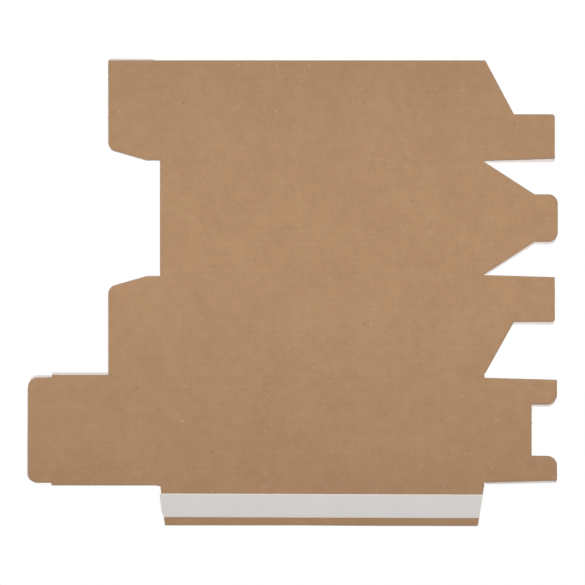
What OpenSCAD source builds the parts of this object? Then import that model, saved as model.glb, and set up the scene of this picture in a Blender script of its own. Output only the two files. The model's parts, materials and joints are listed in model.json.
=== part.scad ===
// Flat blank of a small tuck-top gift box with a snap-lock base, cut from fine-flute corrugated board.
// It lies with its brown outer face up. The walls' height runs along +X, from the lid end to the base end.
// The four walls lie in a row along -Y: first side, front, second side and back, then the seam flap.
// Every flap turns on the thin web that its crease leaves under the outer face.

/* [Board] */
// Thickness of the corrugated board
board_t = 1.5; // [1.2:0.1:2.5]
// Thickness left over a crease, under the outer face
crease_web = 0.8; // [0.5:0.05:1]
// Gap between a flap's rounded root and the wall that carries it
crease_gap = 0.06; // [0.04:0.01:0.1]
// Room that a crease leaves between two panels folded square
fold_room = 0.2; // [0.1:0.05:0.4]
// Gap beside a flap, where it is cut free of its neighbour
cut_gap = 0.3; // [0.2:0.05:0.6]

/* [Walls] */
// Height of the walls, from the lid end to the base end
wall_h = 165; // [120:1:260]
// Width of the first side wall, which ends in the free edge
first_side_w = 51.5; // [44:0.5:80]
// Width of the front wall
front_w = 57.5; // [48:0.5:90]
// Width of the second side wall
second_side_w = 50.5; // [44:0.5:80]
// Width of the back wall, which carries the lid and the seam flap
back_w = 57; // [48:0.5:90]

/* [Lid end] */
// Depth of the tuck flap
tuck_d = 13.6; // [10:0.2:24]
// Length past the tuck crease at which the tuck flap steps in
tuck_shoulder = 1.4; // [0.8:0.1:2.5]
// Step inwards at each side of the tuck flap
tuck_step = 1.35; // [0.5:0.05:3]
// Radius of the tuck flap's corners
tuck_r = 5; // [1:0.5:8]
// Depth of the dust flaps
dust_d = 26.3; // [18:0.1:40]
// Distance of a dust flap from the crease beside the front wall
dust_inset = 0.75; // [0.3:0.05:2]
// Straight length at a dust flap's root
dust_root = 6.6; // [3:0.2:12]
// Slant of a dust flap's edge on the front wall's side, in degrees
dust_slant = 16; // [5:1:25]
// Radius of a dust flap's slanted corner
dust_r = 4.5; // [1:0.5:8]

/* [Base end] */
// Depth of the two base side flaps
base_side_d = 35.8; // [28:0.2:44]
// Width of a base side flap's arm, at its root
base_arm_w = 24.1; // [16:0.1:32]
// Depth of the slanted cut beside a base side flap's arm
base_cut_d = 15; // [8:0.5:22]
// Straight length at a base side flap's root, ahead of the slanted cut
base_cut_start = 0.4; // [0.2:0.1:2]
// Taper of an arm's long edge towards its tip
base_arm_taper = 1.2; // [0.4:0.1:3]
// Radius of an arm's corner beside the slanted cut
base_arm_r = 1.5; // [0.5:0.1:4]
// Depth of the locking tongue's flap
tongue_d = 37.3; // [32:0.1:52]
// Width of the locking tongue
tongue_w = 24.3; // [14:0.1:30]
// Radius of the tongue's corners
tongue_r = 4.8; // [1:0.1:7]
// Depth of the slotted flap
slotted_d = 36.9; // [32:0.1:52]
// Room beside the slotted flap for the folded seam flap, beyond the board's thickness
slotted_room = 0.4; // [0.2:0.1:2]
// Taper of each long edge of the slotted flap towards its tip
slotted_taper = 1; // [0.2:0.1:3]
// Radius of the lead-in at the notch's mouth
notch_r = 5; // [1:0.1:7]
// Clearance at each side of the tongue in the notch
notch_clearance = 0.95; // [0.3:0.05:2]
// Radius of the small outer corners at the tips of the base flaps
tip_r = 0.6; // [0.3:0.1:1.5]

/* [Seam flap] */
// Width of the seam flap
seam_w = 20; // [16:0.5:32]
// Distance of the seam flap's root from each end of the walls
seam_inset = 0.2; // [0.1:0.1:3]
// Slant of the seam flap's end beside the lid, over its width
seam_lid_taper = 2.3; // [0.5:0.1:8]
// Slant of the seam flap's end beside the base flaps, over its width
seam_base_taper = 3.1; // [0.5:0.1:8]
// Radius of the seam flap's outer corners
seam_r = 0.7; // [0.3:0.1:3]

/* [Adhesive strip] */
// Width of the release liner
tape_w = 12; // [8:0.5:14]
// Distance of the release liner from the seam crease
tape_offset = 3.7; // [2.5:0.1:6]
// Angle at which the strip was laid, in degrees
tape_skew = 0.2; // [0:0.05:0.4]
// Thickness of the adhesive
adhesive_t = 0.15; // [0.05:0.01:0.5]
// Thickness of the release liner
liner_t = 0.1; // [0.05:0.01:0.3]
// Width by which the liner passes the adhesive along each edge
liner_margin = 0.4; // [0.1:0.1:1.5]
// Length by which the liner hangs over the seam flap's lid end
liner_overhang = 0.8; // [0.2:0.1:1.2]
// Length of the trimmed corner at that end
liner_trim = 2.4; // [0.5:0.1:4]

/* [Hidden] */
// Each crease is a channel pressed into the inner face, and its flap's root is a round nose on the fold line
nose_r = crease_web / 2;
fold_z = board_t - nose_r;
channel_top = board_t - crease_web;
nose_room = nose_r + crease_gap;
channel_half = nose_room + crease_gap;
crease_half = fold_z + fold_room;

// The lid's crease stands out by the board's thickness, so that the closed lid lies over the dust flaps
lid_setout = board_t;
lid_d = second_side_w + board_t;
lid_w = back_w - 2 * cut_gap;
tuck_w = lid_w - 2 * tuck_step;

// Crease lines between the walls, from the free edge down
first_crease_y = -first_side_w;
second_crease_y = first_crease_y - front_w;
third_crease_y = second_crease_y - second_side_w;
seam_crease_y = third_crease_y - back_w;

// The tongue's shoulders and the notch's end meet in the middle of the closed base
base_span = (first_side_w + second_side_w) / 2;
tongue_shoulder_d = base_span / 2;
notch_end_d = base_span / 2 - board_t;
notch_w = tongue_w + 2 * notch_clearance;
slotted_w = back_w - 2 * (board_t + slotted_room);
prong_w = slotted_w / 2 - slotted_taper - notch_w / 2;

// The blank's own box, whose bottom centre is the origin
blank_left = -lid_setout - lid_d - tuck_d;
blank_right = wall_h + max(tongue_d, slotted_d, base_side_d);
blank_bottom = seam_crease_y - seam_w;

cut_over = 1;
kraft = "#AD8A6A";
liner_grey = "#D2CDCA";
glue_clear = "#E4DCC8";

// Unit vector from one point towards another
function toward(from, to) = (to - from) / norm(to - from);

// Half of the angle between the two edges that meet at a corner
function half_angle(before, at, after) = acos(toward(at, before) * toward(at, after)) / 2;

// A corner's own point, or the two ends of its round
function corner_ends(before, at, after, r) =
    r == 0 ? [at] :
    let (reach = r / tan(half_angle(before, at, after)))
    [at + reach * toward(at, before), at + reach * toward(at, after)];

// Centre of a corner's round
function round_centre(before, at, after, r) =
    let (inwards = toward(at, before) + toward(at, after))
    at + r / sin(half_angle(before, at, after)) * inwards / norm(inwards);

// Outline through corners given as [out, along, radius], with true arcs at the rounded ones
module rounded_outline(corners) {
    count = len(corners);
    points = [for (corner = corners) [corner[0], corner[1]]];
    function before(i) = points[(i + count - 1) % count];
    function after(i) = points[(i + 1) % count];
    polygon([
        for (i = [0 : count - 1])
            each corner_ends(before(i), points[i], after(i), corners[i][2])
    ]);
    for (i = [0 : count - 1])
        if (corners[i][2] > 0)
            translate(round_centre(before(i), points[i], after(i), corners[i][2]))
                circle(r = corners[i][2], $fn = 64);
}

// Prism of a section drawn as [out, up], along a crease between two places
module along_crease(from, to) {
    translate([0, to, 0])
        rotate([90, 0, 0])
            linear_extrude(to - from)
                children();
}

// Channel that a crease presses into the inner face
module crease_channel(from, to) {
    widen = cut_over * (crease_half - channel_half) / channel_top;
    along_crease(from, to)
        polygon([
            [-crease_half - widen, -cut_over],
            [crease_half + widen, -cut_over],
            [channel_half, channel_top],
            [-channel_half, channel_top]
        ]);
}

// Room for a flap's root at the edge of the panel that carries it
module flap_room(from, to) {
    crease_channel(from, to);
    along_crease(from, to)
        translate([-nose_room, -cut_over])
            square([2 * nose_room, board_t + 2 * cut_over]);
}

// Board of a flap whose outline is drawn as [out, along] from its fold line, with its crease and round nose
module hinged_flap(depth, from, to) {
    intersection() {
        linear_extrude(board_t)
            children();
        union() {
            along_crease(from - cut_over, to + cut_over)
                polygon([
                    [0, board_t],
                    [depth + cut_over, board_t],
                    [depth + cut_over, 0],
                    [crease_half, 0],
                    [channel_half, channel_top],
                    [0, channel_top]
                ]);
            along_crease(from - cut_over, to + cut_over)
                translate([0, fold_z])
                    circle(r = nose_r, $fn = 48);
        }
    }
}

// Places of the flaps' own axes: out of the crease along X, along the crease along Y
module on_blank() {
    translate([-(blank_left + blank_right) / 2, -blank_bottom / 2, 0])
        children();
}

module at_base_end(y) {
    on_blank()
        translate([wall_h, y, 0])
            children();
}

module at_lid_end(x, y) {
    on_blank()
        translate([x, y, 0])
            mirror([1, 0, 0])
                children();
}

module at_seam(z) {
    on_blank()
        translate([0, seam_crease_y, z])
            rotate([0, 0, -90])
                children();
}

// Four walls in a row, creased from inside, with an ear that sets the lid's crease out
module wall_panels() {
    ear_top = third_crease_y - cut_gap;
    ear_bottom = seam_crease_y + cut_gap;
    color(kraft)
        on_blank()
            difference() {
                linear_extrude(board_t)
                    polygon([
                        [0, 0],
                        [wall_h, 0],
                        [wall_h, seam_crease_y],
                        [0, seam_crease_y],
                        [0, ear_bottom],
                        [-lid_setout, ear_bottom],
                        [-lid_setout, ear_top],
                        [0, ear_top]
                    ]);
                for (crease_y = [first_crease_y, second_crease_y, third_crease_y])
                    translate([0, crease_y, 0])
                        rotate([0, 0, -90])
                            crease_channel(0, wall_h + cut_over);
                translate([wall_h, 0, 0])
                    flap_room(seam_crease_y - cut_over, cut_over);
                flap_room(first_crease_y + dust_inset - cut_gap, cut_over);
                flap_room(ear_top, second_crease_y - dust_inset + cut_gap);
                translate([-lid_setout, 0, 0])
                    flap_room(ear_bottom - cut_over, ear_top + cut_over);
                translate([0, seam_crease_y, 0])
                    rotate([0, 0, -90])
                        flap_room(0, wall_h + cut_over);
            }
}

// Lid, from its crease on the back wall's ear to the tuck crease
module lid_panel() {
    color(kraft)
        at_lid_end(-lid_setout, seam_crease_y + cut_gap)
            difference() {
                hinged_flap(lid_d, 0, lid_w)
                    polygon([[-nose_r, 0], [lid_d, 0], [lid_d, lid_w], [-nose_r, lid_w]]);
                translate([lid_d, 0, 0])
                    flap_room(-cut_over, lid_w + cut_over);
            }
}

// Tuck flap, as wide as the lid at its crease and stepped in past it
module tuck_flap() {
    corner_r = min(tuck_r, tuck_d - tuck_shoulder - tip_r, tuck_w / 2 - tip_r);
    color(kraft)
        at_lid_end(-lid_setout - lid_d, seam_crease_y + cut_gap)
            hinged_flap(tuck_d, 0, lid_w)
                rounded_outline([
                    [-nose_r, 0, 0],
                    [tuck_shoulder, 0, 0],
                    [tuck_shoulder, tuck_step, 0],
                    [tuck_d, tuck_step, corner_r],
                    [tuck_d, lid_w - tuck_step, corner_r],
                    [tuck_shoulder, lid_w - tuck_step, 0],
                    [tuck_shoulder, lid_w, 0],
                    [-nose_r, lid_w, 0]
                ]);
}

// Dust flap of a given width, with its slanted edge on the side where along is 0
module dust_flap(width) {
    rise = (dust_d - dust_root) * tan(dust_slant);
    color(kraft)
        hinged_flap(dust_d, 0, width)
            rounded_outline([
                [-nose_r, 0, 0],
                [dust_root, 0, 0],
                [dust_d, rise, dust_r],
                [dust_d, width, 0],
                [-nose_r, width, 0]
            ]);
}

module first_dust_flap() {
    at_lid_end(0, first_crease_y + dust_inset)
        dust_flap(first_side_w - dust_inset);
}

module second_dust_flap() {
    at_lid_end(0, second_crease_y - dust_inset)
        mirror([0, 1, 0])
            dust_flap(second_side_w - dust_inset);
}

// Base side flap with a root of a given length: an arm beside the front wall, and a slanted cut
module base_side_flap(root) {
    color(kraft)
        hinged_flap(base_side_d, 0, root)
            rounded_outline([
                [-nose_r, cut_gap / 2, 0],
                [0, cut_gap / 2, 0],
                [base_side_d, base_arm_taper, tip_r],
                [base_side_d, base_arm_w, base_arm_r],
                [base_cut_d, base_arm_w, 0],
                [base_cut_start, root, 0],
                [-nose_r, root, 0]
            ]);
}

module first_base_side_flap() {
    at_base_end(first_crease_y)
        base_side_flap(first_side_w);
}

module second_base_side_flap() {
    at_base_end(second_crease_y)
        mirror([0, 1, 0])
            base_side_flap(second_side_w - cut_gap);
}

// Locking tongue: the front wall's base flap narrows to a straight neck with a round tip
module base_tongue_flap() {
    root_half = front_w / 2 - cut_gap / 2;
    tip_half = tongue_w / 2;
    corner_r = min(tongue_r, tip_half - tip_r, tongue_d - tongue_shoulder_d - tip_r);
    color(kraft)
        at_base_end(first_crease_y - front_w / 2)
            hinged_flap(tongue_d, -root_half, root_half)
                rounded_outline([
                    [-nose_r, -root_half, 0],
                    [0, -root_half, 0],
                    [tongue_shoulder_d, -tip_half, 0],
                    [tongue_d, -tip_half, corner_r],
                    [tongue_d, tip_half, corner_r],
                    [tongue_shoulder_d, tip_half, 0],
                    [0, root_half, 0],
                    [-nose_r, root_half, 0]
                ]);
}

// Slotted flap: the back wall's base flap, with a notch between two prongs for the tongue
module base_slotted_flap() {
    root_half = slotted_w / 2;
    tip_half = root_half - slotted_taper;
    notch_half = notch_w / 2;
    lead_r = min(notch_r, prong_w - 2 * tip_r, slotted_d - notch_end_d - tip_r);
    color(kraft)
        at_base_end(third_crease_y - back_w / 2)
            hinged_flap(slotted_d, -root_half, root_half)
                rounded_outline([
                    [-nose_r, -root_half, 0],
                    [0, -root_half, 0],
                    [slotted_d, -tip_half, tip_r],
                    [slotted_d, -notch_half, lead_r],
                    [notch_end_d, -notch_half, 0],
                    [notch_end_d, notch_half, 0],
                    [slotted_d, notch_half, lead_r],
                    [slotted_d, tip_half, tip_r],
                    [0, root_half, 0],
                    [-nose_r, root_half, 0]
                ]);
}

// Places of the seam flap's slanted ends along the crease, at a distance out from it
function seam_lid_end(out) = seam_inset + seam_lid_taper * out / seam_w;
function seam_base_end(out) = wall_h - seam_inset - seam_base_taper * out / seam_w;

// Seam flap along the back wall, with slanted ends
module seam_flap() {
    color(kraft)
        at_seam(0)
            hinged_flap(seam_w, 0, wall_h)
                rounded_outline([
                    [-nose_r, seam_inset, 0],
                    [0, seam_inset, 0],
                    [seam_w, seam_lid_end(seam_w), seam_r],
                    [seam_w, seam_base_end(seam_w), seam_r],
                    [0, wall_h - seam_inset, 0],
                    [-nose_r, wall_h - seam_inset, 0]
                ]);
}

// Turns what lies on the seam flap by the strip's own angle, about the liner's near corner
module laid_strip() {
    translate([tape_offset, 0, 0])
        rotate([0, 0, -tape_skew])
            translate([-tape_offset, 0, 0])
                children();
}

// Adhesive band under the liner, which ends with the seam flap
module adhesive_tape() {
    near = tape_offset + liner_margin;
    far = tape_offset + tape_w - liner_margin;
    color(glue_clear)
        at_seam(board_t)
            laid_strip()
                linear_extrude(adhesive_t)
                    polygon([
                        [near, seam_lid_end(near) + liner_margin],
                        [far, seam_lid_end(far) + liner_margin],
                        [far, seam_base_end(far) - liner_margin],
                        [near, seam_base_end(near) - liner_margin]
                    ]);
}

// Release liner over the adhesive: it hangs over the lid end, where one corner is trimmed
module release_liner() {
    near = tape_offset;
    far = tape_offset + tape_w;
    color(liner_grey)
        at_seam(board_t + adhesive_t)
            laid_strip()
                linear_extrude(liner_t)
                    polygon([
                        [near, seam_lid_end(near) - liner_overhang],
                        [far - liner_trim, seam_lid_end(far - liner_trim) - liner_overhang],
                        [far, seam_lid_end(far)],
                        [far, seam_base_end(far)],
                        [near, seam_base_end(near)]
                    ]);
}

wall_panels();
lid_panel();
tuck_flap();
first_dust_flap();
second_dust_flap();
first_base_side_flap();
base_tongue_flap();
second_base_side_flap();
base_slotted_flap();
seam_flap();
adhesive_tape();
release_liner();
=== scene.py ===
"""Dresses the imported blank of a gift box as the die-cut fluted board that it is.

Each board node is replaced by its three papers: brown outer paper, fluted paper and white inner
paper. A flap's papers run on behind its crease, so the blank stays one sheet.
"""

import json
import logging
import math
from collections.abc import Callable, Hashable
from dataclasses import dataclass, field
from enum import Enum, IntEnum

import bmesh
import bpy
import numpy as np
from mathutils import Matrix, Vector
from mathutils.geometry import delaunay_2d_cdt

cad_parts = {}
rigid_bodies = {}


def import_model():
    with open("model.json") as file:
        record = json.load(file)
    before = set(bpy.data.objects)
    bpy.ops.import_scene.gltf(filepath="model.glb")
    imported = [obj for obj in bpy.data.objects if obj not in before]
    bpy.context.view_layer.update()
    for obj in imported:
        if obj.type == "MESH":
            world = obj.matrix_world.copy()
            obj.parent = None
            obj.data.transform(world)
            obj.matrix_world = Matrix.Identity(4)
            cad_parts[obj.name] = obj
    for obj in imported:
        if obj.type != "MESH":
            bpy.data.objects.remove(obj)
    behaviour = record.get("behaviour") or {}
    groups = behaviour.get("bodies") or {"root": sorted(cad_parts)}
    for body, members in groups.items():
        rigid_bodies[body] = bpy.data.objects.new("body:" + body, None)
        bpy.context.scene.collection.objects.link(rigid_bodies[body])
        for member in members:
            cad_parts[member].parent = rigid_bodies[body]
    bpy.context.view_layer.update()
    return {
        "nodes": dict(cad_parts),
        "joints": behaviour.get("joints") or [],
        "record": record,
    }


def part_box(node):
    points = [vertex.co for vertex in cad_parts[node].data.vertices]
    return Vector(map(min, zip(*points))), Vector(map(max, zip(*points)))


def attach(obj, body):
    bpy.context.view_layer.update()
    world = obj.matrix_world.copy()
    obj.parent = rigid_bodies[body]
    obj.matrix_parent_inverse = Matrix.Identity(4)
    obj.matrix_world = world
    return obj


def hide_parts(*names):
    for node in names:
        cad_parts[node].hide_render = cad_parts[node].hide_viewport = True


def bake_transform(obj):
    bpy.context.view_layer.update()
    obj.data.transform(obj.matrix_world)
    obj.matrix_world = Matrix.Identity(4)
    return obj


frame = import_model()

MM = 0.001
# Points within WELD of each other are one, and a point within NEAR of a line lies on it.
WELD = 0.001 * MM
NEAR = 5 * WELD
SEED = 7
# Points are compared with outlines this many at a time, to spare memory.
CHUNK = 1000
# A face whose normal rises at least this far lies flat.
FLAT = 0.99
FLUTE_PITCH = 3.3 * MM
PAPER_IOR = 1.46
NOISE_DETAIL = 2.0
PURE_WHITE = "#FFFFFF"
SHEET = "sheet_place"
EDGE_TONE = "edge_tone"

log = logging.getLogger("gift_box_blank")


def linear(colour: str) -> tuple[float, float, float, float]:
    """Turns an sRGB hex colour into linear values.

    Args:
        colour: a colour such as "#AD8A6A".

    Returns:
        Red, green, blue and alpha as a shader socket takes them.
    """
    shares = [int(colour[i : i + 2], 16) / 255 for i in (1, 3, 5)]
    red, green, blue = [s / 12.92 if s <= 0.04045 else ((s + 0.055) / 1.055) ** 2.4 for s in shares]
    return red, green, blue, 1.0


def add_node(
    tree: bpy.types.NodeTree, kind: str, inputs: dict | None = None, **settings
) -> bpy.types.Node:
    """Adds one node to a tree.

    Args:
        tree: the material's, world's or modifier's node tree.
        kind: the node's type name.
        inputs: for each socket's name or number, the value it holds or the socket that feeds it.
        **settings: the node's own settings.

    Returns:
        The new node.
    """
    node = tree.nodes.new(kind)
    for name, value in settings.items():
        setattr(node, name, value)
    for key, value in (inputs or {}).items():
        if isinstance(value, bpy.types.NodeSocket):
            tree.links.new(value, node.inputs[key])
        else:
            node.inputs[key].default_value = value
    return node


def new_finish(name: str) -> tuple[bpy.types.Material, bpy.types.NodeTree, bpy.types.Node]:
    """Starts a material.

    Args:
        name: the real material's name.

    Returns:
        The material, its node tree and its Principled shader.
    """
    material = bpy.data.materials.new(name)
    material.use_nodes = True
    return material, material.node_tree, material.node_tree.nodes["Principled BSDF"]


def layered(
    tree: bpy.types.NodeTree, layers: tuple[tuple[bpy.types.NodeSocket, float, float], ...]
) -> tuple[bpy.types.NodeSocket, bpy.types.NodeSocket]:
    """Adds up layers of noise round a middle tone.

    Args:
        tree: the material's node tree.
        layers: each layer's place on the surface, its scale and its share in the tone.

    Returns:
        The tone, and the last layer's own pattern.
    """
    tone = 0.5 - sum(share for _, _, share in layers) / 2
    for place, scale, share in layers:
        spread = {"Vector": place, "Scale": scale, "Detail": NOISE_DETAIL}
        noise = add_node(tree, "ShaderNodeTexNoise", spread).outputs[0]
        terms = {0: noise, 1: share, 2: tone}
        tone = add_node(tree, "ShaderNodeMath", terms, operation="MULTIPLY_ADD").outputs[0]
    return tone, noise


# Finishes


class Ground(Enum):
    """What a pattern is laid out on: the flat sheet as it was cut, or the piece where it lies."""

    SHEET = 1
    PIECE = 2


@dataclass(frozen=True)
class Speck:
    """A kind of speck in the paper, scattered in cells of a given size.

    The widest speck's radius is a share of its cell, and only a share of the cells holds one.
    """

    colour: str
    strength: float
    cell: tuple[float, float]
    shift: float
    widest: float = 0.2
    share: float = 0.45


@dataclass(frozen=True)
class KraftPaper:
    """Unbleached kraft paper: matte brown and softly clouded, with fibres along its run and specks."""

    dark: str = "#957253"
    light: str = "#BD9874"
    # This colour is painted shade: a darker grey-brown along the cut edges and faintly on the creases,
    # where crushed edges and scores fall in shade.
    edge_tone: str = "#8F8172"
    cloud_size: float = 30 * MM
    cloud_share: float = 0.29
    mottle_size: float = 6 * MM
    mottle_share: float = 0.29
    # Real fibres are about 0.03 mm wide. They are drawn coarser, so that they show in the render.
    fibre: tuple[float, float] = (0.6 * MM, 3.2 * MM)
    fibre_share: float = 0.32
    specks: tuple[Speck, ...] = (
        Speck("#7A5B42", 0.24, (3.0 * MM, 6.4 * MM), 0.0),
        Speck("#7A5B42", 0.20, (7.4 * MM, 3.4 * MM), 0.23),
        Speck("#D3B697", 0.17, (3.2 * MM, 6.6 * MM), 0.37),
        Speck("#D3B697", 0.15, (8.0 * MM, 3.6 * MM), 0.61),
        Speck("#4A3424", 0.48, (13 * MM, 16 * MM), 0.11, widest=0.06, share=0.18),
        Speck("#E2C8AB", 0.38, (16 * MM, 12 * MM), 0.47, widest=0.06, share=0.18),
    )
    relief: float = 0.01 * MM
    washboard: float = 0.012 * MM
    sheen_level: float = 0.3
    smoothest: float = 0.80
    roughening: float = 0.12

    def material(self) -> bpy.types.Material:
        """Builds the brown outer paper's material."""
        material, tree, shader = new_finish("unbleached_kraft_paper")
        place = add_node(tree, "ShaderNodeAttribute", attribute_name=SHEET).outputs["Vector"]
        grain = (1 / self.fibre[0], 1 / self.fibre[1], 1 / self.fibre[0])
        along = add_node(tree, "ShaderNodeMapping", {"Vector": place, "Scale": grain}).outputs[0]
        layers = (
            (place, 1 / self.cloud_size, self.cloud_share),
            (place, 1 / self.mottle_size, self.mottle_share),
            (along, 1.0, self.fibre_share),
        )
        tone, fibres = layered(tree, layers)
        ends = {0: tone, 6: linear(self.dark), 7: linear(self.light)}
        colour = add_node(tree, "ShaderNodeMix", ends, data_type="RGBA").outputs[2]
        for speck in self.specks:
            colour = self.speckled(tree, place, colour, speck)
        # Painted shade along cut edges and creases, broken up by the fibres.
        edge_tone = add_node(tree, "ShaderNodeAttribute", attribute_name=EDGE_TONE).outputs["Fac"]
        painted_edge_shade = add_node(tree, "ShaderNodeMath", {0: edge_tone, 1: fibres}, operation="MULTIPLY").outputs[0]
        ends = {0: painted_edge_shade, 6: colour, 7: linear(self.edge_tone)}
        colour = add_node(tree, "ShaderNodeMix", ends, data_type="RGBA").outputs[2]
        terms = {0: fibres, 1: self.roughening, 2: self.smoothest}
        rough = add_node(tree, "ShaderNodeMath", terms, operation="MULTIPLY_ADD")
        height = self.height(tree, place, fibres)
        bump = add_node(tree, "ShaderNodeBump", {"Height": height, "Strength": 1.0, "Distance": 1.0})
        tree.links.new(colour, shader.inputs["Base Color"])
        tree.links.new(rough.outputs[0], shader.inputs["Roughness"])
        tree.links.new(bump.outputs[0], shader.inputs["Normal"])
        shader.inputs["IOR"].default_value = PAPER_IOR
        shader.inputs["Specular IOR Level"].default_value = self.sheen_level
        return material

    def speckled(
        self,
        tree: bpy.types.NodeTree,
        place: bpy.types.NodeSocket,
        colour: bpy.types.NodeSocket,
        speck: Speck,
    ) -> bpy.types.NodeSocket:
        """Scatters one kind of speck over a colour.

        Args:
            tree: the material's node tree.
            place: the place on the sheet.
            colour: the colour so far.
            speck: the kind of speck.

        Returns:
            The colour with the specks.
        """
        shift = (speck.shift, speck.shift, 0)
        cells = (1 / speck.cell[0], 1 / speck.cell[1], 1)
        spread = {"Vector": place, "Location": shift, "Scale": cells}
        moved = add_node(tree, "ShaderNodeMapping", spread).outputs[0]
        cell = add_node(
            tree, "ShaderNodeTexVoronoi", {"Vector": moved, "Scale": 1.0}, voronoi_dimensions="2D"
        ).outputs
        chance = add_node(tree, "ShaderNodeSeparateColor", {0: cell["Color"]}).outputs
        terms = {0: chance[0], 1: speck.widest}
        size = add_node(tree, "ShaderNodeMath", terms, operation="MULTIPLY").outputs[0]
        fall = {0: cell["Distance"], 1: size, 2: 0.0, 3: 0.0, 4: speck.strength}
        inside = add_node(tree, "ShaderNodeMapRange", fall).outputs[0]
        odds = {0: chance[1], 1: speck.share}
        rare = add_node(tree, "ShaderNodeMath", odds, operation="LESS_THAN").outputs[0]
        mask = add_node(tree, "ShaderNodeMath", {0: inside, 1: rare}, operation="MULTIPLY").outputs[0]
        ends = {0: mask, 6: colour, 7: linear(speck.colour)}
        return add_node(tree, "ShaderNodeMix", ends, data_type="RGBA").outputs[2]

    def height(
        self, tree: bpy.types.NodeTree, place: bpy.types.NodeSocket, fibres: bpy.types.NodeSocket
    ) -> bpy.types.NodeSocket:
        """Adds the fibres' relief to the faint waves that the flutes leave in the paper.

        Args:
            tree: the material's node tree.
            place: the place on the sheet.
            fibres: the fibres' pattern.

        Returns:
            The surface's height, in metres.
        """
        across = add_node(tree, "ShaderNodeSeparateXYZ", {0: place}).outputs[1]
        pace = 2 * math.pi / FLUTE_PITCH
        angle = add_node(tree, "ShaderNodeMath", {0: across, 1: pace}, operation="MULTIPLY").outputs[0]
        wave = add_node(tree, "ShaderNodeMath", {0: angle}, operation="SINE").outputs[0]
        terms = {0: wave, 1: self.washboard}
        waves = add_node(tree, "ShaderNodeMath", terms, operation="MULTIPLY").outputs[0]
        terms = {0: fibres, 1: self.relief, 2: waves}
        return add_node(tree, "ShaderNodeMath", terms, operation="MULTIPLY_ADD").outputs[0]


@dataclass(frozen=True)
class PlainPaper:
    """A paper or film of one tone, with faint clouds, a fine grain and a tone of its own along its cut
    edges.
    """

    name: str
    dark: str
    light: str
    edge_tone: str
    ground: Ground = Ground.SHEET
    cloud_size: float = 9 * MM
    cloud_share: float = 0.6
    grain: tuple[float, float] = (0.5 * MM, 3 * MM)
    grain_share: float = 0.5
    relief: float = 0.006 * MM
    roughness: float = 0.7

    def material(self) -> bpy.types.Material:
        """Builds the paper's material."""
        material, tree, shader = new_finish(self.name)
        if self.ground is Ground.SHEET:
            place = add_node(tree, "ShaderNodeAttribute", attribute_name=SHEET).outputs["Vector"]
        else:
            place = add_node(tree, "ShaderNodeTexCoord").outputs["Object"]
        grain = (1 / self.grain[0], 1 / self.grain[1], 1 / self.grain[0])
        along = add_node(tree, "ShaderNodeMapping", {"Vector": place, "Scale": grain}).outputs[0]
        layers = ((place, 1 / self.cloud_size, self.cloud_share), (along, 1.0, self.grain_share))
        tone, fibres = layered(tree, layers)
        ends = {0: tone, 6: linear(self.dark), 7: linear(self.light)}
        colour = add_node(tree, "ShaderNodeMix", ends, data_type="RGBA").outputs[2]
        # The tone along cut edges: on the release paper, partly a painted highlight.
        edge_tone = add_node(tree, "ShaderNodeAttribute", attribute_name=EDGE_TONE).outputs["Fac"]
        ends = {0: edge_tone, 6: colour, 7: linear(self.edge_tone)}
        colour = add_node(tree, "ShaderNodeMix", ends, data_type="RGBA").outputs[2]
        terms = {"Height": fibres, "Strength": 1.0, "Distance": self.relief}
        bump = add_node(tree, "ShaderNodeBump", terms)
        tree.links.new(colour, shader.inputs["Base Color"])
        tree.links.new(bump.outputs[0], shader.inputs["Normal"])
        shader.inputs["Roughness"].default_value = self.roughness
        shader.inputs["IOR"].default_value = PAPER_IOR
        return material


KRAFT = KraftPaper()
# Bleached inner paper: white, a little warm and slightly clouded.
WHITE = PlainPaper("bleached_liner_paper", "#D9CFCB", "#E3DBD7", "#DDD3CF", roughness=0.62)
# Recycled fluting paper: duller and browner than the outer paper.
FLUTING = PlainPaper(
    "recycled_fluting_paper", "#8E6E50", "#A88564", "#A88564", cloud_size=4 * MM, roughness=0.9
)
# Siliconised release paper: pale grey and satin, streaked along its run, creamy at its cut edges: partly a
# scuffed coat, partly a painted highlight of the lit edge.
RELEASE = PlainPaper(
    "siliconised_release_paper",
    "#D7D2CE",
    "#DFDAD7",
    "#E8DDD2",
    cloud_size=14 * MM,
    grain=(25 * MM, 0.5 * MM),
    relief=0.002 * MM,
    roughness=0.42,
)
# Acrylic transfer adhesive: a thin clear amber film with a wet gloss.
ADHESIVE = PlainPaper(
    "acrylic_adhesive",
    "#DACFB4",
    "#EAE3D2",
    "#EAE3D2",
    ground=Ground.PIECE,
    cloud_size=2 * MM,
    roughness=0.25,
)


# Plan geometry


def walk(follow: dict[Hashable, Hashable]) -> list[Hashable]:
    """Puts directed edges in the order of the ring that they make.

    Args:
        follow: for each vertex, the next one.

    Returns:
        The vertices in order.
    """
    ring = [next(iter(follow))]
    while follow[ring[-1]] != ring[0]:
        ring.append(follow[ring[-1]])
    return ring


def node_ring(node: str) -> np.ndarray:
    """Reads the outline of a CAD node's top face, counter-clockwise.

    Args:
        node: the CAD node's name.

    Returns:
        Plan points, in metres, one a row.
    """
    merged = bmesh.new()
    merged.from_mesh(frame["nodes"][node].data)
    bmesh.ops.remove_doubles(merged, verts=merged.verts, dist=WELD)
    top = max(v.co.z for v in merged.verts)
    upper = [f for f in merged.faces if f.normal.z > FLAT and f.calc_center_median().z > top - WELD]
    follow = {}
    for loop in (c for f in upper for c in f.loops):
        if sum(f in upper for f in loop.edge.link_faces) == 1:
            follow[loop.vert] = loop.link_loop_next.vert
    ring = np.array([v.co.xy for v in walk(follow)], float)
    merged.free()
    return ring


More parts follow.
